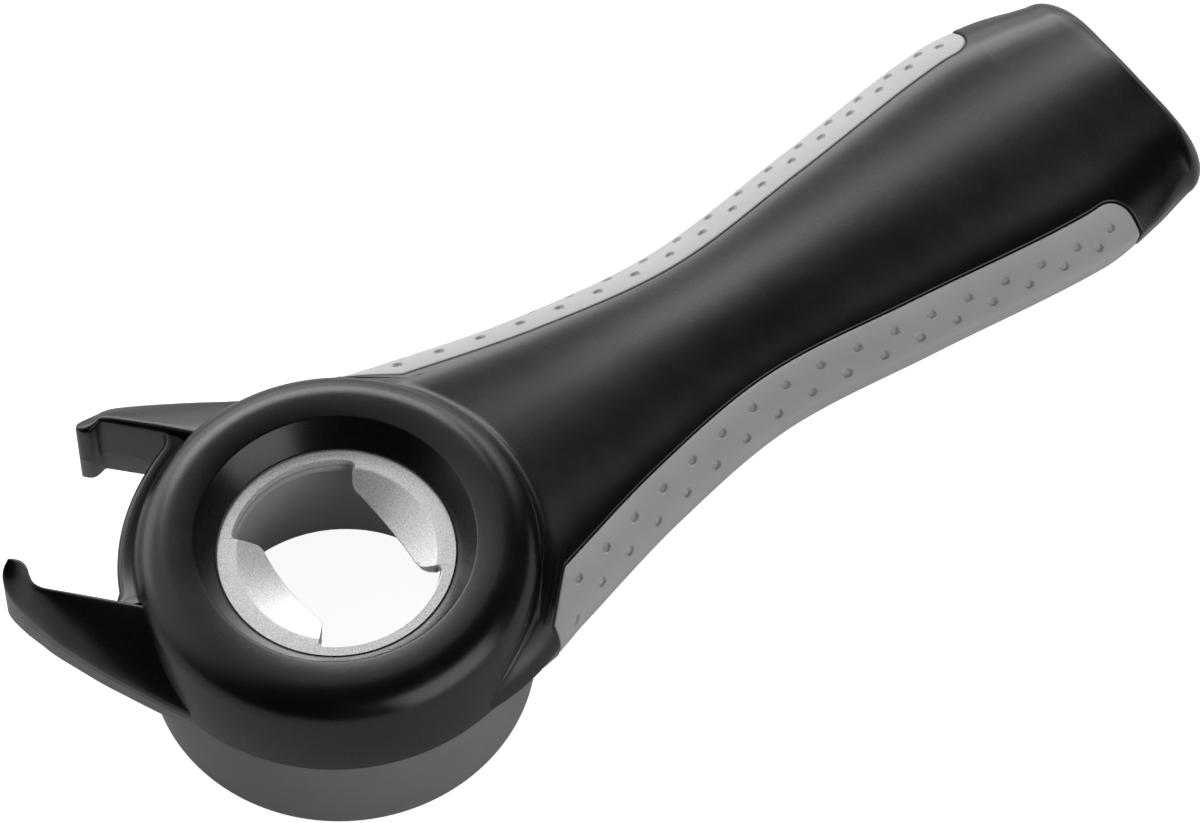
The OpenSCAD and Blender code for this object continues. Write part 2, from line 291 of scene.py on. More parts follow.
def domeShell(bm):
    p = dome["parting"]
    outside = arc(dome["seamR"] - p, seamZ + p, p, -90, 0, 5)
    outside += arc(dome["rollR"], rollZ, dome["roll"], flankTop, 90, 26)
    # flatter inner half of the roll, to the crease round the funnel
    crease = (dome["creaseR"], domeTop - dome["creaseDrop"])
    run, fall = dome["rollR"] - crease[0], dome["creaseDrop"]
    lay = (run * run + fall * fall) / (2 * fall)
    sweep = math.degrees(math.asin(run / lay))
    outside += arc(dome["rollR"], domeTop - lay, lay, 90, 90 + sweep, 9)[1:-1]
    foot = (dome["window"] + dome["footOut"], steelTop + dome["footUp"])
    slope = math.atan2(crease[1] - foot[1], crease[0] - foot[0])
    start, end = 90 + sweep, 90 + math.degrees(slope)
    middle = math.radians((start + end) / 2)
    back = dome["creaseRound"] / math.cos(math.radians((end - start) / 2))
    outside += arc(crease[0] - back * math.cos(middle), crease[1] - back * math.sin(middle),
                   dome["creaseRound"], start, end, 7)
    # funnel down to the steel, very slightly hollow
    (r, z), sag = outside[-1], dome["sag"]
    for t in np.linspace(0.1, 1, 8):
        low = sag * math.sin(math.pi * t)
        outside.append((r + (foot[0] - r) * t - low, z + (foot[1] - z) * t - low))
    outside += arc(foot[0], steelTop + dome["lipUp"], dome["lip"], *dome["lipTurn"], 5)
    inside = [(dome["seat"], steelTop + dome["seatGap"]), (dome["seat"], steelLow),
              (dome["seat"] + dome["seatRun"], steelLow)]
    inside += [(dome["rollR"] + out, rollZ + up) for out, up in dome["hollow"]]
    inside.append((dome["seamR"] - dome["wall"], seamZ))
    spun(bm, outside + inside, 180)


# handle: its skin, shared by the shell, the underside and the grips

# widths are (x, half width) along the handle, and the slope at the last of them
handle = {"widths": [(-14, 33.4), (0, 33.5), (13, 33.2), (28, 29.0), (52, 22.9), (77, 19.4), (105, 22.1),
                     (138, 25.7), (150, 24.4), (158, 22.6)], "lastSlope": -0.22,
          "crown": 31.0, "crownPower": 1.1, "crownEdge": 0.72, "crownFall": 3.0,
          "bellyHead": 13.0, "bellyEnd": 15.9, "bellyFrom": 28, "bellyRun": 110, "bellyLift": 1.6,
          "bellyRound": 2.0, "roundSpan": (138, 162),
          "square": 3.4, "squarer": 1.1, "waist": 19.4, "waistRun": 9,
          "shoulder": 0.85, "shoulderIn": (38, 85), "shoulderOut": (148, 160), "shoulderUp": 2.8,
          "shoulderSpread": 1.7,
          "endRound": 6.0, "endPull": 7.8, "endEdge": 1.3, "endDrop": 1.3,
          "endLean": {1: 1.8, -1: 3.2}, "leanRun": 7, "leanPower": 1.5,
          "fillet": 2.0, "filletPower": 1.5, "filletEnd": 40, "upShare": 0.1,
          "tuck": 1.7, "tuckRun": 10, "tuckGap": 0.06, "parting": 0.28, "rootLap": 1.2}
# two lines of dimples, each (distance from the edge at the head, at the end, where it starts to change)
grips = {"reach": 6.5, "bare": 0.94, "headRun": 7.0, "tailRun": 4.5, "edgeRound": 0.42, "recess": 0.95,
         "stepRun": 0.08, "gap": 0.13, "sunk": 0.16, "softRound": 0.4, "thick": 1.5, "steepest": 4,
         "pitch": 6.95, "firstX": 29.5, "lastX": 140.2, "dimpleR": 0.9, "dimpleDeep": 0.52,
         "dimpleFlat": 0.62, "lines": [(3.2, 4.3, 85), (6.9, 6.0, 30)], "single": (26.4, 10.2),
         "cell": 0.25, "merge": 0.0005}
cup = {"rimR": 31.7, "topR": 33.8, "rimRound": 0.4, "wall": 2.4, "coneR": 25.1, "throatR": 20.1,
       "sleeve": 2.7, "neckOut": 2.8, "neckDown": 3, "coneBevel": 0.4, "seamRound": 0.25,
       "seamBack": 0.28, "seamFoot": (0.02, 0.3), "clear": 0.15}


def cupR(z):  # outer radius of the cup at a height
    return cup["rimR"] + (cup["topR"] - cup["rimR"]) * np.asarray(z, float) / seamZ


def stationWidth(x):  # a smooth line through the given widths
    w = handle["widths"]
    i = 1
    while i < len(w) - 2 and x >= w[i + 1][0]:
        i += 1

    def slope(k):
        return (w[k + 1][1] - w[k - 1][1]) / (w[k + 1][0] - w[k - 1][0])
    h = w[i + 1][0] - w[i][0]
    t = (x - w[i][0]) / h
    m0, m1 = slope(i), slope(i + 1) if i + 2 < len(w) else handle["lastSlope"]
    return (w[i][1] * (2 * t ** 3 - 3 * t * t + 1) + w[i + 1][1] * (3 * t * t - 2 * t ** 3)
            + h * m0 * (t ** 3 - 2 * t * t + t) + h * m1 * (t ** 3 - t * t))


def turn(x, run):  # 0 along the handle, 1 at its very end
    start = endX - run
    return 0 if x <= start else 1 - math.sqrt(max(0, 1 - ((x - start) / run) ** 2))


def halfWidth(x):
    run = handle["endRound"]
    return stationWidth(min(x, endX - run)) - handle["endPull"] * turn(x, run)


def edgeShare(x):  # where the grip's edge runs, as a share of the half width
    base = 1 - grips["reach"] / halfWidth(x)
    a = (x - gripStart) / grips["headRun"]
    b = (gripEnd - x) / grips["tailRun"]
    if a <= 0 or b <= 0:
        return grips["bare"]
    if a < 1:
        return base + (grips["bare"] - base) * (1 - a)
    if b < 1:
        return base + (grips["bare"] - base) * (1 - math.sqrt(1 - (1 - b) ** 2))
    return base


halves = {}  # cross-sections that are worked out already


def half(x, side):  # half a cross-section from the crown to the parting line, by length along it
    key = (round(x, 5), side)
    if key not in halves:
        form, w = handle, halfWidth(x)
        high = form["crown"] - seamZ - form["endDrop"] * turn(x, form["endEdge"])
        if side < 0:
            grown = ramp(form["bellyFrom"], form["bellyRun"], x)
            belly = form["bellyHead"] + (form["bellyEnd"] - form["bellyHead"]) * grown
            high = seamZ - belly - form["bellyLift"] * turn(x, form["endRound"])
            w -= form["tuck"] * ramp(0, form["tuckRun"], gripStart - form["tuckGap"] - x)
        n = form["square"] + form["squarer"] * ramp(form["waist"], form["waistRun"], w)
        if side < 0:  # rounder towards the end
            n -= form["bellyRound"] * ease(*form["roundSpan"], x)
        t = np.linspace(0, math.pi / 2, 260)
        y = w * np.sin(t) ** (2 / n)
        z = seamZ + side * high * np.maximum(0, np.cos(t)) ** (1 / form["crownPower"])
        if side > 0:  # a slightly rounder crown, and fuller shoulders towards the end
            u = np.minimum(1, y / (w * form["crownEdge"]))
            z = z - form["crownFall"] * u ** 2 * (1 - u ** 2) ** 2
            fuller = form["shoulder"] * ease(*form["shoulderIn"], x) * (1 - ease(*form["shoulderOut"], x))
            y = y + fuller * np.exp(-((z - seamZ - form["shoulderUp"]) / form["shoulderSpread"]) ** 2)
        s = np.r_[0, np.cumsum(np.hypot(np.diff(y), np.diff(z)))]
        ty, tz = np.gradient(y, s), np.gradient(z, s)
        size = np.hypot(ty, tz)
        edge = float(np.interp(edgeShare(x) * w, y, s))
        halves[key] = s, y, z, -tz * side / size, ty * side / size, edge
    return halves[key]


def skin(x, s, side):  # place and outward direction at length s from the crown
    run, *lines = half(x, side)[:5]
    return [np.interp(s, run, line) for line in lines]


def outlineOf(side, below=-3):  # the grip's outline as (x, height above the parting line along the skin)
    head = gripStart + np.linspace(0, grips["headRun"], 30)
    body = np.linspace(gripStart + grips["headRun"] + 1, gripEnd - grips["tailRun"] - 1, 110)
    tail = quarter(gripEnd - grips["tailRun"], grips["tailRun"], 40)
    line = [(gripStart, below)]
    for x in np.r_[head, body, tail]:
        h = half(x, side)
        line.append((x, h[0][-1] - h[5]))
    return np.array(line + [(gripEnd, below)])


outlines = {side: outlineOf(side) for side in (1, -1)}


def depthIn(x, above, side):  # distance inside the grip's outline, negative outside it
    line = outlines[side]
    p = np.stack([np.asarray(x, float), np.asarray(above, float)], -1)[..., None, :]
    a, b = line[:-1], line[1:]
    ab = b - a
    t = np.clip(((p - a) * ab).sum(-1) / (ab * ab).sum(-1), 0, 1)
    far = np.sqrt((((a + ab * t[..., None]) - p) ** 2).sum(-1)).min(-1)
    top = np.interp(p[..., 0, 0], line[1:-1, 0], line[1:-1, 1])
    within = (p[..., 0, 0] > gripStart) & (p[..., 0, 0] < gripEnd) & (p[..., 0, 1] < top)
    return np.where(within, far, -far)


# upper shell and underside of the handle

# columns from the crown outwards: shares of the way to the grip's edge, distances from that edge,
# shares of the way on to the parting line, and the last distances from it
inboard = [0, 0.1, 0.2, 0.3, 0.4, 0.5, 0.6, 0.69, 0.77, 0.84, 0.9, 0.95, 1]
nearEdge = [-2.4, -1.9, -1.5, -1.15, -0.85, -0.62, -0.48, -0.38, -0.3, -0.22, -0.14, -0.07, -0.02, 0, 0.02,
            0.05, 0.1, 0.2, 0.4, 0.8]
outboard = [0.18, 0.36, 0.54, 0.7, 0.84, 0.94, 1]
lastBit = [0.3, 0.22, 0.14, 0.07, 0.02, 0]
columnCount = len(inboard) + len(nearEdge) + len(outboard) + len(lastBit)
edgeColumn = len(inboard) + nearEdge.index(0)
# rows from the head on: distances from the head's wall, from the grip's front, and round the grip's end
fromHead = [-0.3, -0.08, 0.02, 0.12, 0.28, 0.48, 0.72, 1.02, 1.36, 1.75, 2.2]
fromGrip = [-0.5, -0.36, -0.24, -0.14, -0.07, -0.02, 0.02, 0.06, 0.12, 0.22, 0.4, 0.7, 1.1, 1.7, 2.4, 3.2,
            4, 4.8, 5.5, 6.1, 6.6, 6.9, 7.1, 7.5, 8.2, 9.2, 10.5, 12, 14, 16.5, 19.5, 23.4]
roundEnd = [-0.06, -0.02, 0.02, 0.07, 0.14, 0.24, 0.36, 0.5]
rowPlan = {"straightFrom": 45, "lead": 8, "tail": 18, "body": 72, "after": 12, "bend": 20, "edge": 14,
           "closest": 0.003, "probeFrom": -3, "probeStep": 0.5}
columnGaps = {"first": 0.5, "last": 0.12}


def columns(x, side):
    h = half(x, side)
    full, edge = h[0][-1], h[5]
    first = [k * (edge + nearEdge[0] - columnGaps["first"]) for k in inboard]
    mid = [edge + d for d in nearEdge]
    rest = [mid[-1] + k * (full - lastBit[0] - columnGaps["last"] - mid[-1]) for k in outboard]
    return np.array(first + mid + rest + [full - d for d in lastBit])


def shellPlaces(x, side):  # skin points of one half row, x given for each column
    pts = []
    for j, xj in enumerate(x):
        s = columns(xj, side)[j]
        pts.append((xj, *skin(xj, s, side), half(xj, side)[0][-1] - s))
    return np.array(pts)


def headRows(side):  # rows that follow the round wall of the head
    probe = np.arange(rowPlan["probeFrom"], rowPlan["straightFrom"], rowPlan["probeStep"])
    table = np.array([shellPlaces([x] * columnCount, side) for x in probe])
    places = np.zeros((len(fromHead), columnCount))
    for j in range(columnCount):
        wall = flankR(table[:, j, 2]) if side > 0 else cupR(table[:, j, 2]) + cup["clear"]
        gap = np.hypot(table[:, j, 0], table[:, j, 1]) - wall
        gap = np.maximum.accumulate(gap + np.arange(len(probe)) * 1e-5)  # always growing
        places[:, j] = np.interp(fromHead, gap, probe)
    return places


def turningRows(base):  # rows that turn from the head's wall to straight across the handle
    front = gripStart + fromGrip[0]
    first, lead, straight = base[edgeColumn], rowPlan["lead"], rowPlan["straightFrom"]
    ahead = [first + (front - first) * k / lead for k in range(1, lead)]
    ahead += [gripStart + d for d in fromGrip]
    places = []
    for i, s in enumerate(ahead):
        row = []
        for j, b in enumerate(base):
            if j <= edgeColumn:
                row.append(b + (s - first) * (straight - b) / (straight - first))
            elif i < lead - 1:
                row.append(b + (front - b) * (i + 1) / lead)
            else:
                row.append(s)
        places.append(row)
    return places


def straightRows():  # x of the rows straight across the handle
    plan = rowPlan
    tail = quarter(gripEnd - grips["tailRun"], grips["tailRun"], plan["tail"])
    tail = [x for x in tail if x < gripEnd + roundEnd[0] - 0.01] + [gripEnd + d for d in roundEnd]
    bend, edge = endX - handle["endRound"], endX - handle["endEdge"]
    body = np.linspace(plan["straightFrom"], tail[0], plan["body"])[1:-1]
    after = np.linspace(tail[-1], bend, plan["after"])[1:]
    end = quarter(bend, handle["endRound"], plan["bend"])[1:]
    end = sorted(round(x, 4) for x in end + quarter(edge, handle["endEdge"], plan["edge"])[:-1])
    end = [x for x, before in zip(end, [0] + end) if x - before > plan["closest"]]
    return [*body, *tail, *after, *end]


def shellSurface(side):
    first = headRows(side)
    places = [*first, *turningRows(first[-1]), *[[x] * columnCount for x in straightRows()]]
    table = np.array([shellPlaces(row, side) for row in places])
    x, y, z, ny, nz, above = [table[..., k] for k in range(6)]
    d = depthIn(x, above, side)
    bed = grips["edgeRound"] + (grips["recess"] - grips["edgeRound"]) * ease(0, grips["stepRun"], d)
    fall = np.where(d >= 0, bed, rounding(grips["edgeRound"], -d))
    lift = np.zeros_like(fall)
    if side > 0:  # soft fillet where the handle meets the dome
        r = handle["fillet"]
        reach = np.hypot(x, y)
        gap = np.clip(reach - flankR(z), 0, r)
        facing = np.clip((y / reach) * ny + handle["upShare"] * nz, 0, 1)
        lift = r - np.sqrt(r * r - (r - gap) ** 2)
        lift = lift * (1 - facing) ** handle["filletPower"] * (x < handle["filletEnd"])
    moved = lift - np.maximum(fall, rounding(handle["parting"], above))
    # the end wall leans in towards its top
    lean = handle["endLean"][side] * ease(endX - handle["leanRun"], endX, x)
    x = x - lean * (np.abs(z - seamZ) / handle["leanRun"]) ** handle["leanPower"]
    return np.stack([x, y + ny * moved, z + nz * moved], -1)


def handleHalf(bm, side):  # one half of the handle as a closed solid with a flat parting face
    right = shellSurface(side)
    left = right * np.array([1, -1, 1])
    whole = np.concatenate([left[:, ::-1][:, :-1], right], axis=1)
    inner, end = whole[0].copy(), whole[-1].copy()
    inner[:, 0] -= handle["rootLap"]
    foot = inner.copy()
    foot[:, 2] = seamZ
    end[:, 2] = seamZ
    sheet(bm, np.concatenate([[foot, inner], whole, [end]]))


# horns

horns = {"angle": 132.0, "least": 0.2, "longLow": (18.2, 16.4), "shortLow": (17.3, 16.2), "lowStrip": 0.8,
         "lowTilt": 1.2, "lowEdge": 1.2}
# outer and inner edge of each horn as (along, across, height of its top there)
longHorn = {"outer": [(12, 30.9, 24.2), (17.1, 29.4, 24.1), (22.7, 27.8, 24.1), (28.4, 25.9, 24.2),
                      (33, 24.3, 24.3), (37.6, 22.4, 24.5), (41.8, 20.6, 24.9), (44.7, 19.0, 25.4),
                      (47.2, 17.6, 25.9), (49.4, 16.1, 26.5), (50.7, 15.0, 27.7), (51.4, 14.0, 29.3),
                      (51.5, 13.0, 30.5), (51.2, 12.3, 31)],
            "inner": [(20, 15.9, 33), (25, 15.9, 33), (30, 15.9, 33), (33, 15.9, 33), (36, 15.9, 33),
                      (39, 15.9, 33), (42, 15.9, 33), (44.2, 15.8, 32.9), (45.7, 15.2, 32.8),
                      (46.8, 13.8, 32.6), (47.6, 12.4, 32.4), (48.7, 11.5, 32.2), (49.9, 11.3, 32),
                      (50.8, 11.6, 31.8)],
            "edge": 0.5, "crest": 1.0, "bulge": 0.55}
shortHorn = {"outer": [(18, -28.0, 28.6), (22, -26.8, 28.6), (25.1, -25.95, 28.6), (29.4, -24.95, 28.5),
                       (33.6, -23.85, 28.4), (37, -22.85, 28.4), (40.4, -21.6, 28.6), (42.7, -20.5, 28.8),
                       (44.4, -18.75, 29.4), (45.6, -17.45, 29.9), (46.4, -16.5, 30.2),
                       (46.7, -15.8, 30.4), (46.75, -15.2, 30.5), (46.5, -14.7, 30.5)],
             "inner": [(20, -15.8, 33), (25, -15.8, 33), (30, -15.9, 33), (33, -16, 33), (36, -16, 33),
                       (38.5, -16, 33), (40.5, -16, 33), (42, -16, 32.9), (42.9, -15.9, 32.7),
                       (43.4, -15, 32.5), (44.1, -14.1, 32.3), (45.1, -13.75, 32), (46.1, -14.0, 31.6),
                       (46.6, -14.5, 31.2)],
             "edge": 0.8, "crest": 1.3, "bulge": 0.5}
turned = math.radians(horns["angle"])


def fromHorn(p):  # from the horns' own directions to the object's
    p = np.asarray(p, float)
    c, s = math.cos(turned), math.sin(turned)
    return np.stack([p[..., 0] * c - p[..., 1] * s, p[..., 0] * s + p[..., 1] * c, p[..., 2]], -1)


def crossings(horn, count):  # outer point, inner point, distance and direction between them, along a horn
    for o, i in zip(curve(horn["outer"], count), curve(horn["inner"], count)):
        wide = max(horns["least"], np.linalg.norm((i - o)[:2]))
        yield o, i, wide, (i - o)[:2] / wide


def hornTop(bm, horn, count=90):
    places = []
    for o, i, wide, across in crossings(horn, count):
        # straight outer wall, rounded outer edge, domed top, rounded crest, inner wall
        row = [(*o[:2], seamZ + (o[2] - seamZ) * h) for h in (0, 0.35, 0.7)]
        e, c = min(horn["edge"], wide / 4), min(horn["crest"], wide / 3)
        spots = np.r_[e * np.array([0, 0.08, 0.25, 0.55, 1]), np.linspace(e, wide - c, 14)[1:-1],
                      wide - c * np.array([1, 0.8, 0.6, 0.4, 0.24, 0.11, 0.03, 0])]
        for d in spots:
            t = d / wide
            z = o[2] + (i[2] - o[2]) * (t + horn["bulge"] * t * (1 - t))
            z -= rounding(e, d) + rounding(c, wide - d)
            row.append((*(o[:2] + across * d), z))
        low = row[-1][2]
        places.append(row + [(*i[:2], seamZ + (low - seamZ) * h) for h in (0.75, 0.5, 0.25, 0)])
    places = np.array(places)
    # both ends close with an upright face, the tip's after narrowing once more
    start, tip = places[0].copy(), places[-1].copy()
    start[:, 2] = seamZ
    tip[:, :2] = (tip[:, :2] + (tip[0, :2] + tip[-1, :2]) / 2) / 2
    foot = tip.copy()
    foot[:, 2] = seamZ
    sheet(bm, fromHorn(np.concatenate([[start], places, [tip, foot]])))


def hornLow(bm, horn, floor, count=70):  # the part of a horn under the parting line
    places = []
    strip = seamZ - horns["lowStrip"]
    for (o, i, wide, across), low in zip(crossings(horn, count), np.linspace(*floor, count)):
        c = min(horns["lowEdge"], wide / 2.5)
        spots = np.r_[c * np.array([0, 0.04, 0.15, 0.35, 0.65, 1]), np.linspace(c, wide - c, 6)[1:-1],
                      wide - c * np.array([1, 0.65, 0.35, 0.15, 0.04, 0])]
        row = [(*o[:2], seamZ), (*o[:2], strip)]
        for d in spots:
            z = low + horns["lowTilt"] * (1 - d / wide) + rounding(c, d) + rounding(c, wide - d)
            row.append((*(o[:2] + across * d), z))
        places.append(row + [(*i[:2], strip), (*i[:2], seamZ)])
    places = np.array(places)
    start, tip = places[0].copy(), places[-1].copy()
    start[:, 2] = seamZ
    tip[:, :2] = (tip[0, :2] + tip[-1, :2]) / 2
    sheet(bm, fromHorn(np.concatenate([[start], places, [tip]])))


ledge = {"radius": 35.0, "top": 30.6, "rise": 1.3, "span": 28.0, "edge": 1.1, "valleyR": 31.2,
         "valleyDrop": 0.35, "corner": 1.5, "cornerSpan": 3.2, "cornerEnd": 1.6, "flat": 0.6,
         "flatDrop": 0.04, "edgeTurn": 84}


def rimLedge(bm):  # the ledge between the horns, rising towards each of them
    places = []
    e = ledge["edge"]
    for a in np.linspace(-ledge["span"], ledge["span"], 70):
        up = ledge["top"] + ledge["rise"] * (abs(a) / ledge["span"]) ** 3
        t = ramp(ledge["span"] - ledge["cornerEnd"] - ledge["cornerSpan"], ledge["cornerSpan"], abs(a))
        r = ledge["radius"] + ledge["corner"] * (1 - math.sqrt(1 - t * t))
        row = [(r, seamZ + (up - e - seamZ) * h) for h in (0, 0.3, 0.6, 0.9)]
        row += arc(r - e, up - e, e, 0, ledge["edgeTurn"], 9)
        row += [(r - e - ledge["flat"], up - ledge["flatDrop"]),
                (ledge["valleyR"], up - ledge["valleyDrop"]), (ledge["valleyR"], seamZ)]
        b = turned + math.radians(a)
        places.append([(q * math.cos(b), q * math.sin(b), z) for q, z in row])
    sheet(bm, places)


def makeUpperShell():
    bm = bmesh.new()
    domeShell(bm)
    handleHalf(bm, 1)
    hornTop(bm, longHorn)
    hornTop(bm, shortHorn)
    rimLedge(bm)
    closeUp(bm)
    return finished(bm, "upperShell", shellBlack, "black_plastic", "upper_shell")


def makeUnderside():
    bm = bmesh.new()
    handleHalf(bm, -1)
    closeUp(bm)
    return finished(bm, "handleUnderside", cupGrey, "grey_plastic", "handle_underside")


# cup and cone of the head

def makeCup():
    bm = bmesh.new()
    k, back, foot = cup["rimRound"], cup["seamBack"], cup["seamFoot"]
    outside = arc(cup["rimR"] - k, k, k, -90, -4, 7) + [(cup["topR"] - foot[0], seamZ - foot[1])]
    outside += arc(cup["topR"] - back, seamZ - back, cup["seamRound"], 0, 90, 4)
    inside = [(cup["topR"] - cup["wall"], seamZ), (cup["rimR"] - cup["wall"], cup["wall"]),
              (cup["coneR"] + cup["sleeve"], cup["wall"]),
              (cup["throatR"] + cup["neckOut"], steelLow - cup["neckDown"]), (steelR, steelLow),
              (cup["throatR"], steelLow), (cup["coneR"], cup["coneBevel"]),
              (cup["coneR"] + cup["coneBevel"], 0)]
    spun(bm, outside + inside, 160)
    hornLow(bm, longHorn, horns["longLow"])
    hornLow(bm, shortHorn, horns["shortLow"])
    closeUp(bm)
    return finished(bm, "lidCup", cupGrey, "grey_plastic", "lid_cup")


# the lip is given as (radius, depth under the steel)
cone = {"lip": [(16.9, 0), (16.75, 0.12), (16.7, 0.35), (16.72, 1.0), (16.9, 1.2), (17.45, 1.55),
                (17.75, 1.9)], "mouthR": 22.6, "mouthRound": 0.5, "mouthUp": 0.9, "gap": 0.05}


def makeCone():
    bm = bmesh.new()
    outline = [(cup["coneR"] - cone["gap"], cup["coneBevel"]), (cup["throatR"], steelLow)]
    outline += [(r, steelLow - down) for r, down in cone["lip"]]
    last = outline[-1]
    outline += [(last[0] + (cone["mouthR"] - last[0]) * t, last[1] + (cone["mouthUp"] - last[1]) * t)
                for t in (0.2, 0.4, 0.6, 0.8, 1)]
    outline += arc(cone["mouthR"] + cone["mouthRound"], cone["mouthUp"], cone["mouthRound"], 180, 270, 5)
    spun(bm, outline, 144)
    closeUp(bm)
    return finished(bm, "capCone", coneRubber, "cone_rubber", "cap_cone")


# cap lifter

# each tooth is given as (distance of its edge from the head axis, how steeply it falls)
lifter = {"hole": 17.1, "steepTooth": (10.3, 0.587), "flatTooth": (9.4, 0.28), "edgeR": 47.0, "half": 45.0,
          "corner": 1.2, "cornerLead": 1.05, "wall": (0.35, 0.7, 1), "fillet": 1.0, "filletLead": 1.1,
          "bend": 15.9, "bendSoft": 0.02, "bendRun": 0.4, "bendLeast": 5, "bendEnd": 2.5,
          "bendSteps": (-1, -0.5, -0.22, 0, 0.22, 0.5, 1), "fan": (0.86, 0.995, 1.1),
          "bevel": 0.16, "bevelFrom": 0.9, "edgeCount": 26, "cornerCount": 8, "filletCount": 6,
          "ringCount": 7, "merge": 0.002}


def toothEdge(a, tooth):  # radius of the shallow hollow edge of a tooth at an angle
    off = lifter["edgeR"] - tooth
    c = math.cos(a)
    return -off * c + math.sqrt(off * off * c * c - off * off + lifter["edgeR"] ** 2)


def atAngle(radius, a):
    return radius * np.array([math.cos(a), math.sin(a)])


def quarterOutline(tooth):  # the hole from the middle of a tooth to halfway between the teeth
    h, count = math.radians(lifter["half"]), lifter["edgeCount"]
    hole, k, f = lifter["hole"], lifter["corner"], lifter["fillet"]
    corner = toothEdge(h, tooth)
    edgeEnd, filletEnd = h - lifter["cornerLead"] * k / corner, h + lifter["filletLead"] * f / hole
    pts = [atAngle(toothEdge(a, tooth), a) for a in np.linspace(0, edgeEnd, count)]
    wallIn, wallOut = atAngle(corner + k, h), atAngle(hole - f, h)
    pts += elbow(pts[-1], atAngle(corner, h), wallIn, lifter["cornerCount"])
    pts += [wallIn + (wallOut - wallIn) * t for t in lifter["wall"]]
    pts += elbow(wallOut, atAngle(hole, h), atAngle(hole, filletEnd), lifter["filletCount"])
    return np.array(pts + [atAngle(hole, a) for a in np.linspace(filletEnd, math.pi / 2, count)[1:]])


def quarterFan():  # angle on the ring's rim that each point of the outline is joined to
    stops = [0, *[math.radians(lifter["half"]) * share for share in lifter["fan"]], math.pi / 2]
    counts = [lifter["edgeCount"] - 1, lifter["cornerCount"] + len(lifter["wall"]), lifter["filletCount"],
              lifter["edgeCount"] - 1]
    spans = [np.linspace(a, b, count + 1)[1:] for a, b, count in zip(stops, stops[1:], counts)]
    return np.concatenate([[0], *spans])


def acrossRing(p, rim):  # shares of the way from the hole's edge to the rim, close together at the bend
    d = rim - p
    long, b, c = d @ d, p @ d, p @ p - lifter["bend"] ** 2
    step = lifter["bendRun"] / math.sqrt(long)
    bend = (-b + math.sqrt(b * b - long * c)) / long if c < 0 else 0
    near = max(bend, lifter["bendLeast"] * step) + step * np.array(lifter["bendSteps"])
    count = lifter["ringCount"]
    return np.r_[np.linspace(0, near[0], count)[:-1], near, np.linspace(near[-1], 1, count)[1:]]


def makeLifter():
    bm = bmesh.new()
    steep, flat = quarterOutline(lifter["steepTooth"][0]), quarterOutline(lifter["flatTooth"][0])
    hole = np.concatenate([steep, flat[::-1][1:] * np.array([-1, 1])])
    hole = np.concatenate([hole, hole[::-1][1:] * np.array([1, -1])])
    fan = quarterFan()
    angles = np.r_[fan, math.pi - fan[::-1][1:]]
    angles = np.r_[angles, math.tau - angles[::-1][1:]]
    places = []
    for p, a in zip(hole, angles):
        rim = atAngle(steelR, a)
        row = []
        for t in acrossRing(p, rim):
            q = p + (rim - p) * t
            inwards = lifter["bend"] - math.hypot(*q)
            down = 0.5 * (inwards + math.sqrt(inwards * inwards + lifter["bendSoft"]))
            fall = lifter["steepTooth" if q[0] > 0 else "flatTooth"][1]
            row.append((*q, steelTop - fall * down * (inwards > -lifter["bendEnd"])))
        places.append(row)
    sheet(bm, places)
    bmesh.ops.remove_doubles(bm, verts=bm.verts, dist=lifter["merge"])
    bmesh.ops.recalc_face_normals(bm, faces=bm.faces)
    if sum(f.normal.z for f in bm.faces) < 0:
        bmesh.ops.reverse_faces(bm, faces=bm.faces)
    bmesh.ops.solidify(bm, geom=bm.faces, thickness=steelThick)
    bmesh.ops.recalc_face_normals(bm, faces=bm.faces)
    rims = [e for e in bm.edges if len(e.link_faces) == 2 and e.calc_face_angle(0) > lifter["bevelFrom"]]
    bmesh.ops.bevel(bm, geom=rims, offset=lifter["bevel"], segments=2, affect="EDGES", profile=0.5,
                    material=-1)
    closeUp(bm, lifter["merge"] / 2)
    return finished(bm, "capLifter", blankedSteel, "steel", "cap_lifter", sharp=9)


# grips

gripRim = [0, 0.015, 0.05, 0.1, 0.17, 0.26, 0.38, 0.55, 0.8]  # distances of its rows from a grip's edge
gripColumns = {1: 104, -1: 14}  # above and below the parting line


def gripPlaces():  # skin points under a grip, row by row, down over the parting line
    gap, cell, step = grips["gap"], grips["cell"], 0.05
    front = [gripStart + gap + d for d in gripRim]
    tail = [gripEnd - gap - d for d in gripRim]
    places = []
    for x in np.r_[front, np.arange(front[-1] + cell, tail[-1] - cell / 2, cell), tail[::-1]]:
        sides = []
        for side, count in gripColumns.items():
            h = half(x, side)
            full, edge = h[0][-1], h[5]
            slope = (half(x + step, side)[5] - half(x - step, side)[5]) / (2 * step)
            begin = edge + gap * math.hypot(1, min(abs(slope), grips["steepest"]))
            fine = [begin + d for d in gripRim[:-1]]
            s = np.array(fine + list(np.linspace(begin + gripRim[-1], full, count - len(fine))))
            sides.append(np.stack([np.full_like(s, x), *skin(x, s, side), full - s, s - edge], -1))
        places.append(np.concatenate([sides[0], sides[1][::-1][1:]]))
    return np.array(places)


def dimple(dx, dy):  # depth of a round dimple at a distance from its middle
    rho = np.hypot(dx, dy) / grips["dimpleR"]
    return grips["dimpleDeep"] * (1 - ease(grips["dimpleFlat"], 1.0, rho))


def dimpled(x, past):  # two staggered lines of dimples, and a single one at the head
    deep = dimple(x - grips["single"][0], past - grips["single"][1])
    for number, (nearD, farD, fromX) in enumerate(grips["lines"]):
        first = grips["firstX"] - number * grips["pitch"] / 2
        last = round((grips["lastX"] - first) / grips["pitch"])
        index = np.clip(np.round((x - first) / grips["pitch"]), 0, last)
        away = nearD + (farD - nearD) * np.clip((x - fromX) / (grips["lastX"] - fromX), 0, 1)
        deep = deep + dimple(x - first - index * grips["pitch"], past - away)
    return deep


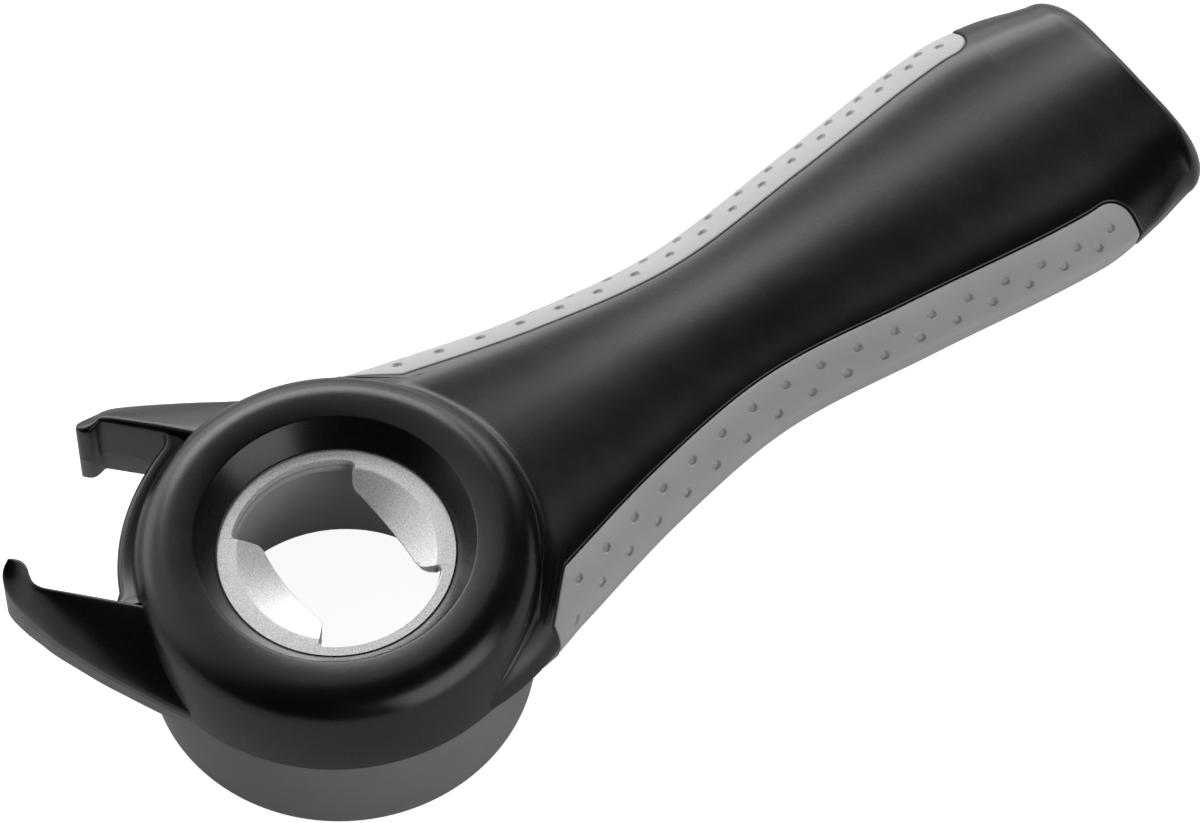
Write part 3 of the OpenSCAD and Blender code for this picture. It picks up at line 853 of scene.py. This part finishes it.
def makeGrip(name, mirror, node):
    places = gripPlaces()
    x, y, z, ny, nz, above, past = [places[..., k] for k in range(7)]
    upper = np.arange(places.shape[1]) < gripColumns[1]
    d = np.where(upper, depthIn(x, above, 1), depthIn(x, above, -1)) - grips["gap"]
    fall = grips["sunk"] + rounding(grips["softRound"], np.maximum(d, 0))
    fall = fall + np.where(upper, dimpled(x, past), 0)
    outer = np.stack([x, y - ny * fall, z - nz * fall], -1)
    picks = np.linspace(0, places.shape[1] - 1, 16).round().astype(int)[::-1]
    inner = np.stack([x, y - ny * grips["thick"], z - nz * grips["thick"]], -1)[:, picks]
    loop = np.concatenate([outer, inner, outer[:, :1]], axis=1)
    if mirror:
        loop = loop * np.array([1, -1, 1])
    bm = bmesh.new()
    sheet(bm, loop)
    closeUp(bm, grips["merge"])
    return finished(bm, name, gripSoft, "grip_rubber", node)


upperShell = makeUpperShell()
handleUnderside = makeUnderside()
lidCup = makeCup()
capCone = makeCone()
capLifter = makeLifter()
gripLeft = makeGrip("gripLeft", False, "grip_left")
gripRight = makeGrip("gripRight", True, "grip_right")
print("pieces made")


# floor, light and camera, in metres

floorLook = {"size": 1.6, "middle": 0.06, "under": 0.0004, "paper": 0.55, "rough": 0.9, "specular": 0.1,
             "glow": 0.92, "inGloss": 0.2}
worldLook = {"backdrop": (-0.25, 0.9, 0.35), "from": 0.42, "to": 0.88, "room": 0.01, "pale": 1.0,
             "white": 1.0}
softboxes = {"backBox": {"place": (0.3, 0.97, 0.32), "size": (2.8, 0.58), "brightness": 1.4},
             "upperBox": {"place": (0.4, 0.77, 0.63), "size": (0.9, 0.4), "brightness": 4.6},
             "sideBox": {"place": (0.3, -0.95, 0.4), "size": (0.9, 0.8), "brightness": 2.3},
             "endBox": {"place": (0.95, 0.45, 0.3), "size": (0.6, 0.5), "brightness": 0.8}}
aim = (0.05, 0, 0.03)
cameraLook = {"lens": 165, "sensor": 36, "clip": (0.05, 20), "place": (-0.2326, -0.3762, 0.7884),
              "right": (0.8041, -0.5945, 0.007), "up": (0.5028, 0.6863, 0.5255),
              "back": (-0.3172, -0.419, 0.8507)}


def makeFloor(look):
    bm = bmesh.new()
    bmesh.ops.create_grid(bm, x_segments=2, y_segments=2, size=look["size"])
    bmesh.ops.translate(bm, verts=bm.verts, vec=(look["middle"], 0, -look["under"]))
    mesh = bpy.data.meshes.new("floor")
    bm.to_mesh(mesh)
    bm.free()
    n = Nodes("palePaper")
    n.shader.inputs["Base Color"].default_value = (*[look["paper"]] * 3, 1)
    n.shader.inputs["Roughness"].default_value = look["rough"]
    n.shader.inputs["Specular IOR Level"].default_value = look["specular"]
    n.shader.inputs["Emission Color"].default_value = (1, 1, 1, 1)
    path = n.add("ShaderNodeLightPath").outputs
    seen = n.combine("MAXIMUM", path["Is Camera Ray"], path["Is Transmission Ray"])
    shine = n.combine("MULTIPLY", path["Is Glossy Ray"], look["inGloss"])
    n.join(n.combine("MULTIPLY", n.combine("MAXIMUM", seen, shine), look["glow"]), "Emission Strength")
    mesh.materials.append(n.material)
    floor = bpy.data.objects.new("floor", mesh)
    bpy.context.collection.objects.link(floor)


def makeWorld(look):  # white behind everything; a pale backdrop and a dark room light the object
    world = bpy.data.worlds.new("studio")
    bpy.context.scene.world = world
    world.use_nodes = True
    n = Nodes("studio", world.node_tree)
    ground = n.tree.nodes["Background"]
    path = n.add("ShaderNodeLightPath").outputs
    away = n.add("ShaderNodeTexCoord").outputs["Generated"]
    facing = n.add("ShaderNodeVectorMath", {0: away, 1: look["backdrop"]}, operation="DOT_PRODUCT")
    pale = n.spread(facing.outputs["Value"], look["room"], look["pale"], look["from"], look["to"],
                    interpolation_type="SMOOTHSTEP")
    seen = n.combine("MAXIMUM", path["Is Camera Ray"], path["Is Transmission Ray"])
    mix = n.add("ShaderNodeMix", data_type="FLOAT")
    n.tree.links.new(seen, mix.inputs[0])
    n.tree.links.new(pale, mix.inputs[2])
    mix.inputs[3].default_value = look["white"]
    n.tree.links.new(mix.outputs[0], ground.inputs["Strength"])
    ground.inputs["Color"].default_value = (1, 1, 1, 1)


def makeSoftbox(name, look):  # brightness is that of the box's face
    lamp = bpy.data.lights.new(name, "AREA")
    lamp.shape = "RECTANGLE"
    lamp.size, lamp.size_y = look["size"]
    lamp.energy = look["brightness"] * math.pi * look["size"][0] * look["size"][1]
    body = bpy.data.objects.new(name, lamp)
    bpy.context.collection.objects.link(body)
    body.location = look["place"]
    body.rotation_mode = "QUATERNION"
    body.rotation_quaternion = (Vector(aim) - Vector(look["place"])).to_track_quat("-Z", "Y")
    body.visible_camera = False


def makeCamera(look):
    data = bpy.data.cameras.new("camera")
    data.lens, data.sensor_width = look["lens"], look["sensor"]
    data.clip_start, data.clip_end = look["clip"]
    camera = bpy.data.objects.new("camera", data)
    bpy.context.collection.objects.link(camera)
    axes = Matrix([Vector(look[k]).normalized() for k in ("right", "up", "back")]).transposed()
    camera.matrix_world = Matrix.Translation(look["place"]) @ axes.to_4x4()
    bpy.context.scene.camera = camera


makeFloor(floorLook)
makeWorld(worldLook)
for boxName, boxLook in softboxes.items():
    makeSoftbox(boxName, boxLook)
makeCamera(cameraLook)
bpy.context.scene.view_settings.view_transform = "Standard"
print("stage made")
